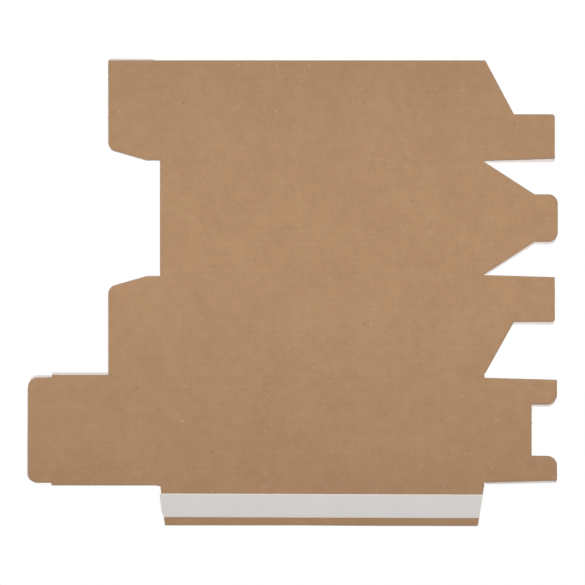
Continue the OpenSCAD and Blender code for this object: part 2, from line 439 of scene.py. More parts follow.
def contains(ring: np.ndarray, points: np.ndarray) -> np.ndarray:
    """Tells which points lie inside a ring.

    Args:
        ring: the ring's plan points.
        points: the points to test.

    Returns:
        One truth value for each point.
    """
    x1, y1 = ring.T
    x2, y2 = np.roll(ring, -1, axis=0).T
    inside = np.zeros(len(points), bool)
    for first in range(0, len(points), CHUNK):
        x, y = points[first : first + CHUNK].T[:, :, None]
        spans = (y1 > y) != (y2 > y)
        with np.errstate(divide="ignore", invalid="ignore"):
            left = x < (x2 - x1) * (y - y1) / (y2 - y1) + x1
        inside[first : first + CHUNK] = (spans & left).sum(axis=1) % 2 == 1
    return inside


def cross(first: np.ndarray, second: np.ndarray) -> np.ndarray:
    """Gives the cross product of plan vectors, row by row: above 0 where the second is to the left."""
    return first[:, 0] * second[:, 1] - first[:, 1] * second[:, 0]


def triangulate(points: np.ndarray, edges: list[tuple[int, int]]) -> tuple[np.ndarray, np.ndarray]:
    """Fills the points' hull with triangles that keep the given edges.

    Args:
        points: plan points.
        edges: pairs of point numbers.

    Returns:
        The points after merging, and the triangles' point numbers, counter-clockwise.
    """
    verts, _, faces, *_ = delaunay_2d_cdt([Vector(p) for p in points], edges, [], 0, WELD)
    verts, faces = np.array(verts, float), np.array(faces)
    a, b, c = verts[faces].transpose(1, 0, 2)
    turned = cross(b - a, c - a) < 0
    faces[turned] = faces[turned][:, ::-1]
    return verts, faces


def triangle_heights(verts: np.ndarray, faces: np.ndarray) -> np.ndarray:
    """Gives each triangle's height over its longest side, which is next to nothing in a sliver."""
    a, b, c = verts[faces].transpose(1, 0, 2)
    sides = [np.linalg.norm(side, axis=1) for side in (b - a, c - b, a - c)]
    return np.abs(cross(b - a, c - a)) / np.maximum.reduce(sides)


def border(faces: np.ndarray) -> dict[int, int]:
    """Finds the directed edges that only one triangle has.

    Args:
        faces: triangles' point numbers, counter-clockwise.

    Returns:
        For each point on the border, the next one.
    """
    edges = {(int(f[i]), int(f[i - 2])) for f in faces for i in range(3)}
    return {a: b for a, b in edges if (b, a) not in edges}


def ring_edges(first: int, count: int) -> list[tuple[int, int]]:
    """Numbers the edges of a ring whose points start at a given number."""
    return [(first + i, first + (i + 1) % count) for i in range(count)]


def subtract(ring: np.ndarray, strips: list[np.ndarray]) -> np.ndarray:
    """Cuts strips out of a ring.

    Args:
        ring: the ring's plan points.
        strips: the rings of what is cut away.

    Returns:
        The ring that is left, counter-clockwise.
    """
    rings = [ring, *strips]
    starts = np.cumsum([0] + [len(r) for r in rings])
    edges = [e for start, r in zip(starts, rings) for e in ring_edges(start, len(r))]
    verts, faces = triangulate(np.vstack(rings), edges)
    middles = verts[faces].mean(axis=1)
    keep = contains(ring, middles)
    for strip in strips:
        keep &= ~contains(strip, middles)
    left = verts[walk(border(faces[keep]))]
    back, on = left - np.roll(left, 1, axis=0), np.roll(left, -1, axis=0) - left
    corner = np.abs(cross(back, on)) > WELD**2
    return left[corner]


def densify(ring: np.ndarray, step: float) -> np.ndarray:
    """Splits a ring's long edges.

    Args:
        ring: the ring's plan points.
        step: the longest edge that is left.

    Returns:
        The ring with more points.
    """
    rows = []
    for a, b in zip(ring, np.roll(ring, -1, axis=0)):
        parts = max(1, math.ceil(np.linalg.norm(b - a) / step))
        rows.append(a + (b - a) * np.arange(parts)[:, None] / parts)
    return np.vstack(rows)


def smooth(share: np.ndarray) -> np.ndarray:
    """Eases a share from 0 to 1, flat at both ends."""
    share = np.clip(share, 0, 1)
    return share * share * (3 - 2 * share)


# Blank


class Paper(IntEnum):
    """The board's papers, numbered as their materials are."""

    OUTER = 0
    INNER = 1
    FLUTED = 2


class Facing(Enum):
    """The way that a cut edge faces, in plan."""

    UP = (0.0, 1.0)
    DOWN = (0.0, -1.0)
    LEFT = (-1.0, 0.0)


@dataclass(frozen=True)
class Rim:
    """White inner paper that shows past the brown paper along a cut edge.

    Its width past the cut changes from the piece's left end to its right one, or from its lower end
    to its upper one on an edge that faces left. The brown paper is set back from the cut. The rim's
    start and stop are shares of that length. It eases in where the edge turns to face its way.
    """

    facing: Facing
    first: float
    last: float
    start: float = 0.0
    stop: float = 1.0
    back: float = 0.0
    turn: float = 0.45
    ease: float = 0.3
    fade: float = 0.03

    def shown(self, edge: np.ndarray, way: np.ndarray) -> np.ndarray:
        """Gives how the white paper stands out and the brown one is set back.

        Args:
            edge: the points of the piece's outline.
            way: the way out at each of them.

        Returns:
            How the white paper's edge lies off the cut at each point, then how the brown one's does.
        """
        facing = np.array(self.facing.value)
        place = edge[:, 1 if self.facing is Facing.LEFT else 0]
        share = (place - place.min()) / (place.max() - place.min())
        here = smooth((way @ facing - self.turn) / self.ease)
        here = here * smooth((share - self.start) / self.fade + 0.5)
        here = here * smooth((self.stop - share) / self.fade + 0.5)
        reach = np.clip((share - self.start) / (self.stop - self.start), 0, 1)
        width = self.first + (self.last - self.first) * reach
        return np.array([here * width, -here * self.back])[:, :, None] * facing


@dataclass(frozen=True)
class Flap:
    """A flap of the blank: its CAD node, the joint at its crease and the rims that it shows."""

    node: str
    joint: str
    rims: tuple[Rim, ...] = ()


@dataclass(frozen=True)
class Crease:
    """A straight crease: a point on it, the way out to the flap and the way along it."""

    origin: np.ndarray
    out: np.ndarray
    along: np.ndarray

    @property
    def across(self) -> bool:
        """Tells whether the crease runs across the flutes."""
        return abs(self.out[0]) > abs(self.out[1])

    def local(self, points: np.ndarray) -> tuple[np.ndarray, np.ndarray]:
        """Gives each point's distance out from the crease and its place along it."""
        return (points - self.origin) @ self.out, (points - self.origin) @ self.along

    def plan(self, out: float, along: float) -> np.ndarray:
        """Gives the plan point at a distance out from the crease and a place along it."""
        return self.origin + out * self.out + along * self.along


@dataclass(frozen=True)
class BoardSection:
    """The fluted board's section and how cutting and creasing changed it, in metres."""

    thickness: float
    outer_paper: float = 0.22 * MM
    inner_paper: float = 0.20 * MM
    fluted_paper: float = 0.16 * MM
    fluted_inset: float = 0.12 * MM
    steps_a_flute: int = 12
    crease_reach: float = 1.3 * MM
    crease_rows: int = 13
    channel_half: float = 1.15 * MM
    channel_depth: float = 0.7 * MM
    score_half: float = 0.9 * MM
    score_depth: float = 0.015 * MM
    # A cut along the flutes presses the board in deeper than one across them.
    crush_along: float = 0.10 * MM
    crush_along_reach: float = 0.9 * MM
    crush_across: float = 0.05 * MM
    crush_across_reach: float = 0.45 * MM
    crush_inner: float = 0.3
    # Where the white paper shows, the blade pinched the board shut.
    pinch_rim: float = 0.3 * MM
    pinch_drop: float = 0.1 * MM
    pinch_drop_reach: float = 1.2 * MM
    pinch_rise_reach: float = 1.3 * MM
    lip_droop: float = 0.25
    inner_inset: float = 0.08 * MM
    # A flute whose draw is below 0 leaves no whisker, and a higher power makes the others narrower.
    whisker: float = 0.22 * MM
    whisker_draw: tuple[float, float] = (-0.8, 1.0)
    whisker_power: int = 6
    fuzz: float = 0.02 * MM
    # How far the edge tone reaches from a cut, and how strong it is on a crease; on the brown paper this
    # tone is painted shade.
    edge_tone_reach: float = 0.5 * MM
    crease_tone: float = 0.08
    knife_gap: float = 0.03 * MM
    edge_step: float = 0.55 * MM

    @property
    def pinch_rise(self) -> float:
        """The height that the white paper rises to where the board is pinched shut."""
        papers = self.outer_paper + self.fluted_paper / 2 + self.inner_paper
        return self.thickness - self.pinch_drop - papers

    def crease_lines(self) -> np.ndarray:
        """Gives the distances from a crease at which the papers have rows of points, to bend there."""
        return np.linspace(-self.crease_reach, self.crease_reach, self.crease_rows)


@dataclass
class BoardPiece:
    """One piece of board in plan, and the three papers that are built from it."""

    node: str
    ring: np.ndarray
    creases: list[Crease]
    rims: tuple[Rim, ...]
    section: BoardSection
    seed: int
    crease_step: float = 2 * MM
    wide_step: float = 8 * MM
    row_depths: tuple[float, ...] = (0.0, 0.25 * MM, 0.55 * MM, 1.0 * MM, 1.6 * MM)
    row_gap: float = 0.18 * MM
    bed_ends: tuple[float, ...] = (0.0, 0.4 * MM, 1 * MM, 2 * MM, 4 * MM)
    # A cut runs across the flutes if it faces along them by this much, and has whiskers if it is square.
    steep: float = 0.7
    square: float = 0.995
    # Shorter rows of the fluted paper are left out.
    least_row: float = 1 * MM
    edge: np.ndarray = field(init=False)
    normal: np.ndarray = field(init=False)
    way: np.ndarray = field(init=False)
    rim: np.ndarray = field(init=False)
    pinch: np.ndarray = field(init=False)
    core: np.ndarray = field(init=False)
    cut: np.ndarray = field(init=False)
    cut_from: np.ndarray = field(init=False)
    cut_run: np.ndarray = field(init=False)
    cut_back: np.ndarray = field(init=False)
    # The depth and the reach of each cut edge's press, on the brown face and on the white one.
    outer_press: tuple[np.ndarray, np.ndarray] = field(init=False)
    inner_press: tuple[np.ndarray, np.ndarray] = field(init=False)

    def settle_edges(self, others: list["BoardPiece"]) -> None:
        """Splits the outline finely and finds which of its edges were cut by the die.

        Args:
            others: the other pieces, which some edges run on into.
        """
        section = self.section
        self.edge = densify(self.ring, section.edge_step)
        ahead = np.roll(self.edge, -1, axis=0) - self.edge
        unit = ahead / np.linalg.norm(ahead, axis=1)[:, None]
        self.normal = np.column_stack([unit[:, 1], -unit[:, 0]])
        probe = self.edge + ahead / 2 + self.normal * 2 * section.knife_gap
        self.cut = np.full(len(probe), True)
        for other in others:
            self.cut &= ~contains(other.ring, probe)
        out = self.normal * self.cut[:, None]
        corner = out + np.roll(out, 1, axis=0)
        self.way = corner / np.maximum(np.linalg.norm(corner, axis=1), WELD)[:, None]
        self.cut_from = self.edge[self.cut]
        self.cut_run = ahead[self.cut]
        self.rim, back = self.rims_shown()
        self.pinch = smooth(np.linalg.norm(self.rim, axis=1) / section.pinch_rim)
        self.core = self.edge + back
        behind = np.linalg.norm(back, axis=1)
        self.cut_back = ((behind + np.roll(behind, -1)) / 2)[self.cut]
        self.settle_press()

    def settle_press(self) -> None:
        """Works out how deep each cut edge is pressed in, and how far from it that is felt."""
        section = self.section
        pinch = ((self.pinch + np.roll(self.pinch, -1)) / 2)[self.cut]
        across = np.abs(self.normal[self.cut][:, 0]) > self.steep
        drop = np.where(across, section.crush_across, section.crush_along)
        reach = np.where(across, section.crush_across_reach, section.crush_along_reach)
        rise = section.crush_inner * drop
        self.outer_press = (
            drop + (section.pinch_drop - drop) * pinch,
            reach + (section.pinch_drop_reach - reach) * pinch,
        )
        self.inner_press = (
            rise + (section.pinch_rise - rise) * pinch,
            reach + (section.pinch_rise_reach - reach) * pinch,
        )

    def whiskers(self) -> np.ndarray:
        """Gives how far each outline point stands out, as the ends of the flutes leave whiskers."""
        section = self.section
        random = np.random.default_rng(self.seed)
        flute = np.round(self.edge[:, 1] / FLUTE_PITCH).astype(int)
        draws = random.uniform(*section.whisker_draw, flute.max() - flute.min() + 1)
        crest = np.cos(2 * math.pi * self.edge[:, 1] / FLUTE_PITCH)
        stub = np.clip(crest, 0, 1) ** section.whisker_power * np.clip(draws[flute - flute.min()], 0, 1)
        fuzz = random.normal(0, 1, len(self.edge))
        ends = (np.abs(self.way[:, 0]) > self.square) & self.cut & np.roll(self.cut, 1)
        return ends * (section.whisker * stub + section.fuzz * fuzz)

    def rims_shown(self) -> np.ndarray:
        """Gives how the white and the brown paper's edges lie off the cut, at each outline point."""
        found = np.zeros((2, len(self.edge), 2))
        for rim in self.rims:
            found += rim.shown(self.edge, self.way)
        return found

    def pressed(self, points: np.ndarray, depth: np.ndarray, reach: np.ndarray) -> np.ndarray:
        """Gives what the cut edges press in at each point, which fades with the distance from them.

        Args:
            points: plan points.
            depth: how deep each cut edge is pressed in.
            reach: how far from each cut edge that is felt.

        Returns:
            One depth for each point.
        """
        found = np.zeros(len(points))
        length = (self.cut_run * self.cut_run).sum(axis=1)
        fade = np.where(contains(self.ring, points), 1.0, self.section.lip_droop)
        for first in range(0, len(points), CHUNK):
            part = slice(first, first + CHUNK)
            away = points[part, None] - self.cut_from
            share = np.clip((away * self.cut_run).sum(axis=2) / length, 0, 1)
            gap = np.linalg.norm(away - share[:, :, None] * self.cut_run, axis=2) * fade[part, None]
            gap = np.maximum(gap - self.cut_back, 0)
            found[part] = (depth * (1 - smooth(gap / reach))).max(axis=1, initial=0)
        return found

    def outer_face(self, points: np.ndarray) -> np.ndarray:
        """Gives the height of the brown face at each point."""
        section = self.section
        height = section.thickness - self.pressed(points, *self.outer_press)
        for crease in self.creases:
            out, _ = crease.local(points)
            height -= section.score_depth * smooth(1 - np.abs(out) / section.score_half)
        return height

    def outer_under(self, points: np.ndarray) -> np.ndarray:
        """Gives the height of the brown paper's lower face at each point."""
        return self.outer_face(points) - self.section.outer_paper

    def inner_face(self, points: np.ndarray) -> np.ndarray:
        """Gives the height of the white face at each point."""
        section = self.section
        height = self.pressed(points, *self.inner_press)
        for crease in self.creases:
            out, _ = crease.local(points)
            channel = smooth(1 - np.abs(out) / section.channel_half)
            height = np.maximum(height, section.channel_depth * channel)
        return height

    def edge_tone_at(self, points: np.ndarray) -> np.ndarray:
        """Gives the edge tone at each point: fully at a cut edge, and a little on a crease, painted shade
        on the brown paper.
        """
        section = self.section
        edge_tone = self.pressed(points, np.ones(len(self.cut_from)), np.array(section.edge_tone_reach))
        for crease in self.creases:
            out, _ = crease.local(points)
            edge_tone = np.maximum(edge_tone, section.crease_tone * smooth(1 - np.abs(out) / section.score_half))
        return edge_tone

    def inner_points(self, ring: np.ndarray) -> np.ndarray:
        """Places points inside a ring: rows at its creases and its edges, and a wide grid.

        Args:
            ring: the outline of the paper to fill.

        Returns:
            Plan points, well inside the ring.
        """
        section = self.section
        low, high = ring.min(axis=0), ring.max(axis=0)
        reach = np.linalg.norm(high - low)
        rows = []
        places = np.arange(-reach, reach, self.crease_step)
        for crease in self.creases:
            for out in section.crease_lines()[1:-1]:
                rows.append([crease.plan(out, along) for along in places])
        for inward in self.row_depths:
            rows.append(self.edge[self.cut] - self.normal[self.cut] * inward)
        grid = np.mgrid[low[0] : high[0] : self.wide_step, low[1] : high[1] : self.wide_step]
        rows.append(grid.reshape(2, -1).T)
        points = np.vstack(rows)
        points = points[contains(ring, points)]
        gap = np.empty(len(points))
        for first in range(0, len(points), CHUNK):
            away = points[first : first + CHUNK, None] - ring
            gap[first : first + CHUNK] = np.linalg.norm(away, axis=2).min(axis=1)
        return points[gap > self.row_gap]

    def paper(
        self,
        mesh: bmesh.types.BMesh,
        ring: np.ndarray,
        lower: Callable[[np.ndarray], np.ndarray],
        thickness: float,
        slot: Paper,
    ) -> None:
        """Builds a flat paper as a closed sheet.

        Args:
            mesh: the mesh that it is added to.
            ring: its outline.
            lower: gives the height of its lower face.
            thickness: the paper's thickness.
            slot: the number of its material.
        """
        points = np.vstack([ring, self.inner_points(ring)])
        verts, faces = triangulate(points, ring_edges(0, len(ring)))
        inside = contains(ring, verts[faces].mean(axis=1))
        faces = faces[inside & (triangle_heights(verts, faces) > WELD)]
        heights = lower(verts)
        used = sorted(set(faces.ravel().tolist()))
        under = {i: mesh.verts.new((*verts[i], heights[i])) for i in used}
        over = {i: mesh.verts.new((*verts[i], heights[i] + thickness)) for i in used}
        for a, b, c in faces.tolist():
            for corners in ((over[a], over[b], over[c]), (under[c], under[b], under[a])):
                face = mesh.faces.new(corners)
                face.smooth = True
                face.material_index = slot
        for a, b in border(faces).items():
            side = mesh.faces.new((under[a], under[b], over[b], over[a]))
            side.smooth = True
            side.material_index = slot
            mesh.edges.get((under[a], under[b])).smooth = False
            mesh.edges.get((over[a], over[b])).smooth = False

    def span(self, y: float) -> tuple[float, float] | None:
        """Gives the left and right end of the piece at a height in plan, or None outside it."""
        x1, y1 = self.core.T
        x2, y2 = np.roll(self.core, -1, axis=0).T
        hit = (y1 > y) != (y2 > y)
        if not hit.any():
            return None
        across = x1[hit] + (x2[hit] - x1[hit]) * (y - y1[hit]) / (y2[hit] - y1[hit])
        return across.min(), across.max()

    def bed_row(self, y: float, columns: list[float]) -> np.ndarray:
        """Places one row of points for the fluted paper, inside the outline.

        Args:
            y: the row's height in plan.
            columns: places along the row that it needs points at.

        Returns:
            Plan points, from left to right.
        """
        inset = self.section.fluted_inset
        spans = [self.span(y + shift) for shift in (-inset, 0, inset)]
        spans = [s for s in spans if s is not None]
        left = max(s[0] for s in spans) + inset
        right = min(s[1] for s in spans) - inset
        ends = [left + e for e in self.bed_ends] + [right - e for e in self.bed_ends]
        x = np.sort(np.clip([*ends, *columns], left, right))
        return np.column_stack([x, np.full(len(x), y)])

    def flute_bed(self) -> bpy.types.Object:
        """Builds the flat grid that the fluted paper is waved from.

        Returns:
            An object whose points hold the fluted paper's middle height and how far it swings.
        """
        section = self.section
        step = FLUTE_PITCH / section.steps_a_flute
        low = self.core[:, 1].min() + section.fluted_inset
        high = self.core[:, 1].max() - section.fluted_inset
        columns = [
            crease.plan(out, 0)[0]
            for crease in self.creases
            if crease.across
            for out in section.crease_lines()
        ]
        heights = [low, *np.arange(math.ceil(low / step) * step, high, step), high]
        rows = [self.bed_row(y, columns) for y in heights]
        rows = [row for row in rows if row[-1, 0] - row[0, 0] > self.least_row]
        points = np.vstack(rows)
        width = len(rows[0])
        faces = [
            (r * width + c, r * width + c + 1, (r + 1) * width + c + 1, (r + 1) * width + c)
            for r in range(len(rows) - 1)
            for c in range(width - 1)
        ]
        top = self.outer_under(points)
        bottom = self.inner_face(points) + section.inner_paper
        mesh = bpy.data.meshes.new(self.node + "_flutes")
        mesh.from_pydata(np.column_stack([points, np.zeros(len(points))]).tolist(), [], faces)
        swing = np.maximum(top - bottom - section.fluted_paper, 0) / 2
        for name, values in (("middle", (top + bottom) / 2), ("swing", swing)):
            stored = mesh.attributes.new(name, "FLOAT", "POINT")
            stored.data.foreach_set("value", values.astype(np.float32))
        bed = bpy.data.objects.new(self.node + "_flutes", mesh)
        bpy.context.scene.collection.objects.link(bed)
        return bed

    def finished(
        self, mesh: bmesh.types.BMesh, name: str, *dress: bpy.types.Material
    ) -> bpy.types.Object:
        """Turns a finished mesh into an object that knows its place on the sheet and its edge tone.

        Args:
            mesh: the mesh, which is freed.
            name: the object's name.
            *dress: its materials, in the order of their numbers.

        Returns:
            The object, in the scene.
        """
        data = bpy.data.meshes.new(name)
        mesh.to_mesh(data)
        mesh.free()
        for material in dress:
            data.materials.append(material)
        places = np.empty(len(data.vertices) * 3, np.float32)
        data.vertices.foreach_get("co", places)
        edge_tone = self.edge_tone_at(places.reshape(-1, 3)[:, :2].astype(float))
        data.attributes.new(SHEET, "FLOAT_VECTOR", "POINT").data.foreach_set("vector", places)
        data.attributes.new(EDGE_TONE, "FLOAT", "POINT").data.foreach_set("value", edge_tone.astype(np.float32))
        obj = bpy.data.objects.new(name, data)
        bpy.context.scene.collection.objects.link(obj)
        log.info("%s: %d faces", name, len(data.polygons))
        return obj


def flute_tree(material: bpy.types.Material) -> bpy.types.NodeTree:
    """Builds the Geometry Nodes tree that waves a flat grid into fluted paper.

    Args:
        material: the fluted paper's material.

    Returns:
        The tree, with inputs for the flutes' pitch and the paper's thickness.
    """
    tree = bpy.data.node_groups.new("fluted_paper", "GeometryNodeTree")
    tree.interface.new_socket("Geometry", in_out="INPUT", socket_type="NodeSocketGeometry")
    tree.interface.new_socket("Flute pitch", in_out="INPUT", socket_type="NodeSocketFloat")
    tree.interface.new_socket("Paper thickness", in_out="INPUT", socket_type="NodeSocketFloat")
    tree.interface.new_socket("Geometry", in_out="OUTPUT", socket_type="NodeSocketGeometry")
    given = add_node(tree, "NodeGroupInput").outputs
    middle = add_node(tree, "GeometryNodeInputNamedAttribute", {"Name": "middle"}, data_type="FLOAT")
    swing = add_node(tree, "GeometryNodeInputNamedAttribute", {"Name": "swing"}, data_type="FLOAT")
    place = add_node(tree, "GeometryNodeInputPosition")
    split = add_node(tree, "ShaderNodeSeparateXYZ", {0: place.outputs[0]})
    terms = {0: split.outputs[1], 1: given["Flute pitch"]}
    turns = add_node(tree, "ShaderNodeMath", terms, operation="DIVIDE")
    terms = {0: turns.outputs[0], 1: 2 * math.pi}
    angle = add_node(tree, "ShaderNodeMath", terms, operation="MULTIPLY")
    wave = add_node(tree, "ShaderNodeMath", {0: angle.outputs[0]}, operation="SINE")
    terms = {0: wave.outputs[0], 1: swing.outputs[0], 2: middle.outputs[0]}
    height = add_node(tree, "ShaderNodeMath", terms, operation="MULTIPLY_ADD")
    terms = {0: given["Paper thickness"], 1: -0.5, 2: height.outputs[0]}
    half = add_node(tree, "ShaderNodeMath", terms, operation="MULTIPLY_ADD")
    terms = {0: split.outputs[0], 1: split.outputs[1], 2: half.outputs[0]}
    lower = add_node(tree, "ShaderNodeCombineXYZ", terms)
    waved = add_node(
        tree, "GeometryNodeSetPosition", {"Geometry": given["Geometry"], "Position": lower.outputs[0]}
    )
    up = add_node(tree, "ShaderNodeCombineXYZ", {2: given["Paper thickness"]})
    terms = {"Mesh": waved.outputs[0], "Offset": up.outputs[0], "Individual": False}
    upper = add_node(tree, "GeometryNodeExtrudeMesh", terms)
    under = add_node(tree, "GeometryNodeFlipFaces", {"Mesh": waved.outputs[0]})
    both = add_node(tree, "GeometryNodeJoinGeometry")
    tree.links.new(upper.outputs[0], both.inputs[0])
    tree.links.new(under.outputs[0], both.inputs[0])
    terms = {"Geometry": both.outputs[0], "Distance": WELD}
    closed = add_node(tree, "GeometryNodeMergeByDistance", terms)
    real = add_node(tree, "GeometryNodeRealizeInstances", {0: closed.outputs[0]})
    terms = {"Geometry": real.outputs[0], "Material": material}
    dressed = add_node(tree, "GeometryNodeSetMaterial", terms)
    add_node(tree, "NodeGroupOutput", {0: dressed.outputs[0]})
    return tree


def modelled(
    obj: bpy.types.Object, tree: bpy.types.NodeTree, sizes: dict[str, float]
) -> bpy.types.Mesh:
    """Runs a Geometry Nodes tree on an object and keeps the result as a plain mesh.

    Args:
        obj: the object that the tree starts from, which is removed.
        tree: the tree.
        sizes: the value of each named input.

    Returns:
        The finished mesh.
    """
    modifier = obj.modifiers.new(tree.name, "NODES")
    modifier.node_group = tree
    for item in tree.interface.items_tree:
        if item.in_out == "INPUT" and item.name in sizes:
            modifier[item.identifier] = sizes[item.name]
    view = bpy.context.evaluated_depsgraph_get()
    mesh = bpy.data.meshes.new_from_object(obj.evaluated_get(view))
    bpy.data.objects.remove(obj)
    return mesh


@dataclass
class Blank:
    """The die-cut blank: four walls in a row, and the flaps that fold on their creases."""

    walls: str = "wall_panels"
    flaps: tuple[Flap, ...] = (
        Flap(
            "lid_panel", "lid_fold", (Rim(Facing.UP, 1.0 * MM, 1.0 * MM, -0.05, 0.51, back=0.3 * MM),)
        ),
        Flap(
            "tuck_flap",
            "tuck_fold",
            (
                Rim(Facing.UP, 1.1 * MM, 1.0 * MM, stop=1.05, back=0.15 * MM),
                Rim(Facing.LEFT, 0.65 * MM, 0.3 * MM, stop=0.88),
            ),
        ),
        Flap(
            "first_dust_flap",
            "first_dust_fold",
            (Rim(Facing.UP, 1.0 * MM, 0.7 * MM, 0.03, 0.85), Rim(Facing.DOWN, 0.3 * MM, 0.25 * MM)),
        ),
        Flap("second_dust_flap", "second_dust_fold", (Rim(Facing.UP, 0.35 * MM, 0.3 * MM),)),
        Flap(
            "first_base_side_flap",
            "first_base_side_fold",
            (Rim(Facing.DOWN, 0.6 * MM, 1.3 * MM, 0.05, back=0.35 * MM),),
        ),
        Flap(
            "base_tongue_flap",
            "base_tongue_fold",
            (Rim(Facing.DOWN, 0.85 * MM, 1.2 * MM, 0.05, back=0.2 * MM),),
        ),
        Flap(
            "second_base_side_flap",
            "second_base_side_fold",
            (Rim(Facing.DOWN, 1.1 * MM, 1.3 * MM, 0.42, back=0.22 * MM),),
        ),
        Flap("base_slotted_flap", "base_slotted_fold", (Rim(Facing.DOWN, 1.0 * MM, 1.2 * MM, 0.05),)),
        Flap("seam_flap", "seam_fold", (Rim(Facing.DOWN, 0.15 * MM, 0.5 * MM, 0.45),)),
    )
    snap: float = 0.5 * MM
    nose_room: tuple[float, float] = (0.3 * MM, 0.6 * MM)
    on_crease: float = 0.05 * MM
    section: BoardSection = field(init=False)
    joints: dict[str, dict] = field(init=False)
    bodies: dict[str, list[str]] = field(init=False)
    knife: float = field(init=False)
    creases: dict[str, Crease] = field(init=False)
    wall_creases: list[Crease] = field(init=False)

    def __post_init__(self) -> None:
        """Reads the creases and the joints from the frame."""
        self.section = BoardSection(thickness=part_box(self.walls)[1].z)
        self.joints = {j["name"]: j for j in frame["joints"]}
        self.bodies = frame["record"]["behaviour"]["bodies"]
        self.knife = (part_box("second_dust_flap")[0].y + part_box("lid_panel")[1].y) / 2
        self.creases = {f.node: self.crease_of(f) for f in self.flaps}
        self.wall_creases = self.find_wall_creases()

    def flap_of(self, node: str) -> Flap | None:
        """Finds the flap that a CAD node is, or None for the walls."""
        return next((f for f in self.flaps if f.node == node), None)

    def crease_of(self, flap: Flap) -> Crease:
        """Reads a flap's crease from its joint."""
        joint = self.joints[flap.joint]
        origin = np.array(joint["pos_m"][:2])
        along = np.abs(np.array(joint["axis"][:2], float))
        out = np.array([along[1], along[0]])
        low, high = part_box(flap.node)
        side = np.sign((np.array((low + high).xy) / 2 - origin) @ out)
        return Crease(origin, out * side, along)

    def find_wall_creases(self) -> list[Crease]:
        """Places the creases between the walls: between their base flaps, and at the lid's cut."""
        first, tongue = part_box("first_base_side_flap"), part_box("base_tongue_flap")
        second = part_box("second_base_side_flap")
        heights = (
            (first[0].y + tongue[1].y) / 2,
            (tongue[0].y + second[1].y) / 2,
            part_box("second_dust_flap")[0].y,
        )
        return [Crease(np.array([0, y]), np.array([0.0, 1.0]), np.array([1.0, 0.0])) for y in heights]

    def closed_ring(self, node: str) -> np.ndarray:
        """Reads a node's outline, with the knife cut beside the lid closed to a hairline."""
        ring = node_ring(node)
        half = self.section.knife_gap / 2
        for edge, side in ((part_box("second_dust_flap")[0].y, half), (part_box("lid_panel")[1].y, -half)):
            ring[np.abs(ring[:, 1] - edge) < NEAR, 1] = self.knife + side
        return ring

    def root_span(self, flap: Flap, carrier: np.ndarray) -> tuple[float, float]:
        """Gives the ends of a flap's root, run out to the nearest corner or crease of its carrier."""
        crease = self.creases[flap.node]
        out, along = crease.local(self.closed_ring(flap.node))
        ends = along[out < self.on_crease]
        stops = [*crease.local(carrier)[1]]
        for other in [*self.wall_creases, *self.creases.values()]:
            if other.across != crease.across:
                stops.append(crease.local(other.origin[None])[1][0])
        found = []
        for end in (ends.min(), ends.max()):
            near = min(stops, key=lambda s: abs(s - end))
            found.append(near if abs(near - end) < self.snap else end)
        return found[0], found[1]

    def with_root(self, flap: Flap, ring: np.ndarray, span: tuple[float, float]) -> np.ndarray:
        """Runs a flap's outline on over its crease.

        Args:
            flap: the flap.
            ring: its CAD outline, which starts at the crease.
            span: the two ends of its root.

        Returns:
            The outline with the strip behind the crease.
        """
        crease = self.creases[flap.node]
        out, along = crease.local(ring)
        root = np.flatnonzero(out < self.on_crease)
        first = root[0] if root[0] == 0 and root[-1] == len(ring) - 1 else root[-1]
        ring, along = np.roll(ring, -first, axis=0), np.roll(along, -first)
        start = min(span, key=lambda s: abs(s - along[-1]))
        stop = min(span, key=lambda s: abs(s - along[0]))
        reach = -self.section.crease_reach
        strip = [crease.plan(o, a) for o, a in ((0, start), (reach, start), (reach, stop), (0, stop))]
        whole = np.vstack([ring, strip])
        keep = np.linalg.norm(whole - np.roll(whole, 1, axis=0), axis=1) > NEAR
        return whole[keep]

    def pieces(self) -> dict[str, BoardPiece]:
        """Lays out every piece of board in plan."""
        rings = {n: self.closed_ring(n) for n in [self.walls, *self.creases]}
        carrier = {f.node: self.bodies[self.joints[f.joint]["parent"]][0] for f in self.flaps}
        spans = {f.node: self.root_span(f, rings[carrier[f.node]]) for f in self.flaps}
        # The CAD walls leave room for each flap's round root. The board here runs on to the crease.
        for flap in self.flaps:
            ring = rings[carrier[flap.node]]
            crease = self.creases[flap.node]
            out, _ = crease.local(ring)
            room = (out < -self.nose_room[0]) & (out > -self.nose_room[1])
            ring[room] -= out[room, None] * crease.out
        made = {}
        for index, node in enumerate(rings):
            flap = self.flap_of(node)
            ring = self.with_root(flap, rings[node], spans[node]) if flap else rings[node]
            strips = [self.strip(f, spans[f.node]) for f in self.flaps if carrier[f.node] == node]
            if strips:
                ring = subtract(ring, strips)
            creases = [self.creases[node]] if flap else self.wall_creases
            rims = flap.rims if flap else ()
            made[node] = BoardPiece(node, ring, creases, rims, self.section, SEED + index)
        for piece in made.values():
            piece.settle_edges([p for p in made.values() if p is not piece])
        return made

    def strip(self, flap: Flap, span: tuple[float, float]) -> np.ndarray:
        """Gives the ring of the carrier's board that goes with a flap."""
        crease, reach = self.creases[flap.node], self.section.crease_reach
        corners = ((-reach, span[0]), (self.snap, span[0]), (self.snap, span[1]), (-reach, span[1]))
        return np.array([crease.plan(o, a) for o, a in corners])

